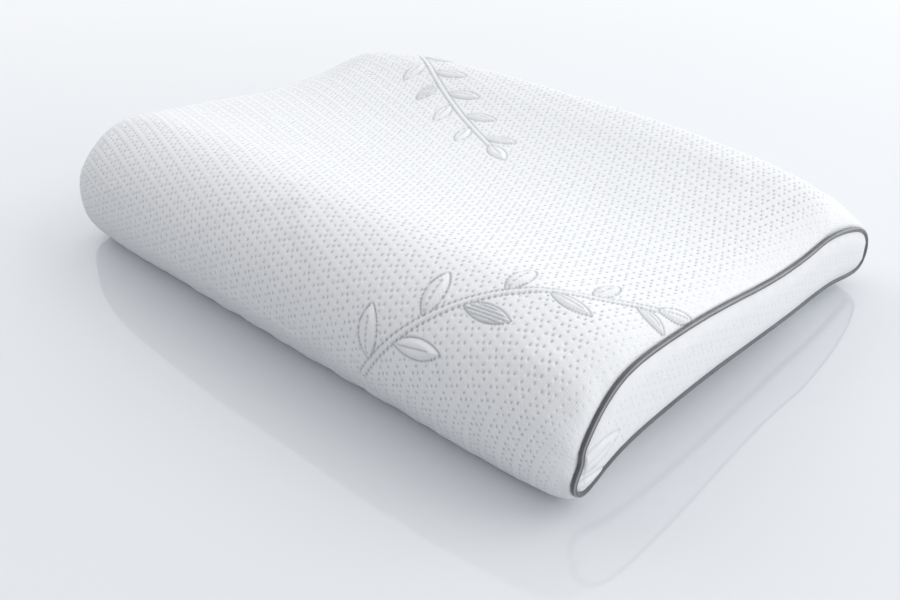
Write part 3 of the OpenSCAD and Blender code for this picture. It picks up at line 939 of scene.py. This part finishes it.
def liner_end(side):
    """The liner's flat end, in rings that close on the middle line."""
    label = "right" if side > 0 else "left"
    t = np.linspace(0, COUNT, 200)[:-1]
    place, _, inward = end_frame(t)
    edge = place + inward * 5
    middle = np.stack([np.clip(edge[:, 0], -135, 135),
                       np.interp(edge[:, 0], FACE_Y, FACE_Z)], -1)
    rings = [edge + (middle - edge) * f for f in (0.0, 0.15, 0.4, 0.7, 1.0)]
    flat = np.stack(rings)
    points = np.concatenate([np.full((*flat.shape[:2], 1), 0.0), flat], -1)
    points[..., 0] = side * (272.2 + 0.2 * np.arange(5)[:, None])
    obj = grid_object("liner_end_" + label + "_knit", points, wrap_v=True, flip=side > 0)
    stand_in(obj, LINER_MATERIAL, "liner_end_" + label)
    return obj


# ---------------------------------------------------------------- zip
def zip_tape(label, hand):
    """One half of the tape, with a beaded inner edge and a slight ripple."""
    low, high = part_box("zipper_tape_" + label)
    bottom_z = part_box("zipper_tape_front")[0][2] / MM
    xs = np.arange(low[0] / MM, high[0] / MM + 1, 2.0)
    inner, outer = (high[1], low[1]) if hand < 0 else (low[1], high[1])
    bead = np.array([0.0, 0.12, 0.2, 0.05, 0, 0, 0, 0, 0, 0])
    ys = np.linspace(inner / MM, outer / MM, len(bead))
    ripple = 0.12 * np.sin(xs / 9.0)[:, None] * np.linspace(0, 1, len(bead))[None]
    top = np.stack(np.broadcast_arrays(xs[:, None], ys[None], bottom_z + 0.5 + ripple), -1)
    bottom = np.stack(np.broadcast_arrays(xs[:, None], ys[None], bottom_z - bead[None] + ripple), -1)
    ring = np.concatenate([bottom, top[:, ::-1]], 1)
    obj = grid_object("zip_tape_" + label + "_weave", ring, wrap_v=True, flip=hand < 0)
    stand_in(obj, TAPE_MATERIAL, "zipper_tape_" + label)


def zip_coil(label, hand):
    """One row of teeth: a wound wire, half a turn out of step with the other row."""
    low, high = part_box("zipper_coil_" + label)
    centre_y, centre_z = (low[1] + high[1]) / 2 / MM, (low[2] + high[2]) / 2 / MM
    half_y, half_z = (high[1] - low[1]) / 2 / MM, (high[2] - low[2]) / 2 / MM
    wire, pitch = 0.33, 1.35
    turns = int((high[0] - low[0]) / MM / pitch) - 1
    a = np.linspace(0, 2 * math.pi * turns, turns * 12 + 1)
    start = low[0] / MM + 0.8
    path = np.stack([start + pitch * a / (2 * math.pi) + (0 if hand < 0 else pitch / 2),
                     centre_y + (half_y - wire) * np.cos(a),
                     centre_z + (half_z - wire) * np.sin(a)], -1)
    tangent = np.gradient(path, axis=0)
    tangent /= np.linalg.norm(tangent, axis=1, keepdims=True)
    side_dir = np.cross(tangent, np.array([1.0, 0, 0]))
    side_dir /= np.linalg.norm(side_dir, axis=1, keepdims=True)
    up_dir = np.cross(side_dir, tangent)
    b = np.radians(np.arange(0, 360, 60))
    tube = path[:, None] + wire * (side_dir[:, None] * np.cos(b)[None, :, None]
                                   + up_dir[:, None] * np.sin(b)[None, :, None])
    obj = grid_object("zip_coil_" + label + "_wire", tube, wrap_v=True)
    stand_in(obj, NYLON_MATERIAL, "zipper_coil_" + label)


def zip_parts():
    """Tapes and teeth as pieces of their own; slider, pull and stops as in the CAD, with soft edges."""
    for label, hand in (("front", -1), ("back", 1)):
        zip_tape(label, hand)
        zip_coil(label, hand)
    for node in ("zipper_slider", "zipper_pull", "zipper_top_stop_front", "zipper_top_stop_back",
                 "zipper_bottom_stop"):
        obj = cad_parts[node]
        for slot in obj.material_slots:
            slot.material = METAL_MATERIAL
        bevel = obj.modifiers.new("soft edges", "BEVEL")
        bevel.width = 0.00018
        bevel.segments = 2
        bevel.limit_method = "ANGLE"
        bevel.angle_limit = math.radians(35)


def stitches():
    """Lockstitch rows that hold the zip tapes to the cover's turned edges, and a bar at each end."""
    segments = []
    pitch, length = 3.2, 2.5
    xs = np.arange(-ZIP_HALF - 4, ZIP_HALF + 4, pitch)
    for hand in (-1, 1):
        y = ZIP_Y + hand * (SLIT_HALF + 3.0)
        for x in xs:
            segments.append(((x, y), (x + length, y)))
    for end in (-1, 1):
        x = end * (ZIP_HALF + 4.5)
        for k in range(9):
            y = ZIP_Y - 8 + 2 * k
            segments.append(((x, y - 0.9), (x + 0.4 * (-1) ** k, y + 0.9)))
    b = np.radians(np.arange(0, 360, 60))
    verts, faces = [], []
    t_near = np.concatenate([np.linspace(0, 1.2, 60), np.linspace(COUNT - 1.2, COUNT, 60)])
    line = spline_at(MIDDLE, MIDDLE_BEND, t_near)
    order = np.argsort(line[:, 0])
    thread = ((0.0, 0.05), (0.12, 0.2), (0.5, 0.24), (0.88, 0.2), (1.0, 0.05))
    for start, finish in segments:
        start, finish = np.array(start), np.array(finish)
        along = (finish - start) / np.linalg.norm(finish - start)
        across = np.array([-along[1], along[0]])
        base = len(verts)
        for k, (f, r) in enumerate(thread):
            c = start + (finish - start) * f
            sunk = 0.12 if k in (0, 4) else -0.08
            z = np.interp(c[1], line[order, 0], line[order, 1]) - 0.02 + sunk
            for a in b:
                p = c + across * r * math.cos(a)
                verts.append((p[0] * MM, p[1] * MM, (z - r * math.sin(a)) * MM))
        for k in range(4):
            for m in range(6):
                n = (m + 1) % 6
                near, far = base + 6 * k, base + 6 * k + 6
                faces.append((near + m, near + n, far + n, far + m))
    mesh = bpy.data.meshes.new("zip_stitching")
    mesh.from_pydata(verts, [], faces)
    mesh.polygons.foreach_set("use_smooth", np.ones(len(faces), bool))
    obj = bpy.data.objects.new("zip_stitching", mesh)
    bpy.context.scene.collection.objects.link(obj)
    add_material(obj, THREAD_MATERIAL)
    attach(obj, "pillow")
    return obj


# ---------------------------------------------------------------- set, light and camera
FLOOR_HALF = 7000.0
# Direction in which the room grows lighter, and its darkest and lightest tone
ROOM_TOWARD = (-0.213, 0.858, -0.468)
ROOM_DARK = (0.254, 0.256, 0.262, 1)
ROOM_LIGHT = (1.0, 1.0, 1.0, 1)
ROOM_STRENGTH = 1.60
# Place in metres, and the camera's heading, downward tilt and roll in degrees
CAMERA_PLACE = (0.54913, -0.58136, 0.44954)
CAMERA_TURNS = (133.739, 31.71, -0.803)
CAMERA_LENS = 42.233


def set_and_light():
    """Tabletop, a room that grows lighter one way, and three softboxes."""
    a = np.linspace(-FLOOR_HALF, FLOOR_HALF, 3)
    xx, yy = np.meshgrid(a, a, indexing="ij")
    floor = grid_object("tabletop", np.stack([xx, yy, np.zeros_like(xx)], -1))
    floor.data.materials.append(floor_material())

    world = bpy.data.worlds.new("soft room")
    bpy.context.scene.world = world
    world.use_nodes = True
    tree = world.node_tree
    background = tree.nodes["Background"]
    ramp = tree.nodes.new("ShaderNodeValToRGB")
    toward = tree.nodes.new("ShaderNodeVectorMath")
    toward.operation = "DOT_PRODUCT"
    toward.inputs[1].default_value = ROOM_TOWARD
    coordinates = tree.nodes.new("ShaderNodeTexCoord")
    tree.links.new(coordinates.outputs["Generated"], toward.inputs[0])
    scale = tree.nodes.new("ShaderNodeMath")
    scale.operation = "MULTIPLY_ADD"
    scale.inputs[1].default_value, scale.inputs[2].default_value = 0.5, 0.5
    tree.links.new(toward.outputs["Value"], scale.inputs[0])
    tree.links.new(scale.outputs[0], ramp.inputs[0])
    tree.links.new(ramp.outputs[0], background.inputs[0])
    ramp.color_ramp.elements[0].position = 0.0
    ramp.color_ramp.elements[0].color = ROOM_DARK
    ramp.color_ramp.elements[1].position = 1.0
    ramp.color_ramp.elements[1].color = ROOM_LIGHT
    background.inputs[1].default_value = ROOM_STRENGTH

    def lamp(name, place, target, width, depth, power):
        data = bpy.data.lights.new(name, "AREA")
        data.shape = "RECTANGLE"
        data.size, data.size_y = width, depth
        data.energy = power
        data.color = (1.0, 0.997, 0.99)
        obj = bpy.data.objects.new(name, data)
        obj.location = place
        direction = np.array(target, float) - np.array(place, float)
        obj.rotation_euler = Vector(direction).to_track_quat("-Z", "Y").to_euler()
        # The glossy tabletop mirrors the room but no softbox edges
        obj.visible_glossy = False
        bpy.context.scene.collection.objects.link(obj)

    lamp("key softbox", (1.4, 1.3, 1.7), (0, 0, 0.05), 1.9, 1.6, 16.0)
    lamp("left softbox", (-1.7, -0.2, 1.6), (0, 0, 0.05), 1.9, 1.6, 9.0)
    lamp("side fill", (1.9, -0.4, 0.7), (0, 0, 0.05), 1.4, 1.0, 6.5)


def camera():
    """The camera, turned by its heading, tilt and roll."""
    yaw, pitch, roll = (math.radians(v) for v in CAMERA_TURNS)
    level = math.cos(pitch)
    forward = np.array([math.cos(yaw) * level, math.sin(yaw) * level, -math.sin(pitch)])
    right = np.array([math.sin(yaw), -math.cos(yaw), 0.0])
    up = np.cross(right, forward)
    r2 = math.cos(roll) * right + math.sin(roll) * up
    u2 = -math.sin(roll) * right + math.cos(roll) * up
    data = bpy.data.cameras.new("camera")
    data.lens = CAMERA_LENS
    data.sensor_width = 36.0
    data.clip_start, data.clip_end = 0.02, 60
    obj = bpy.data.objects.new("camera", data)
    obj.matrix_world = Matrix(np.column_stack(
        [np.append(r2, 0), np.append(u2, 0), np.append(-forward, 0), (*CAMERA_PLACE, 1)]).tolist())
    bpy.context.scene.collection.objects.link(obj)
    bpy.context.scene.camera = obj


bpy.context.scene.view_settings.view_transform = "Standard"
camera()
set_and_light()
foam_core()
sock = liner_tube()
wrap = cover_wrap()
ends = {side: end_panel(side, 3.6) for side in (1, -1)}
liner_ends = {side: liner_end(side) for side in (1, -1)}
for side in (1, -1):
    piping(side)
zip_parts()
thread = stitches()
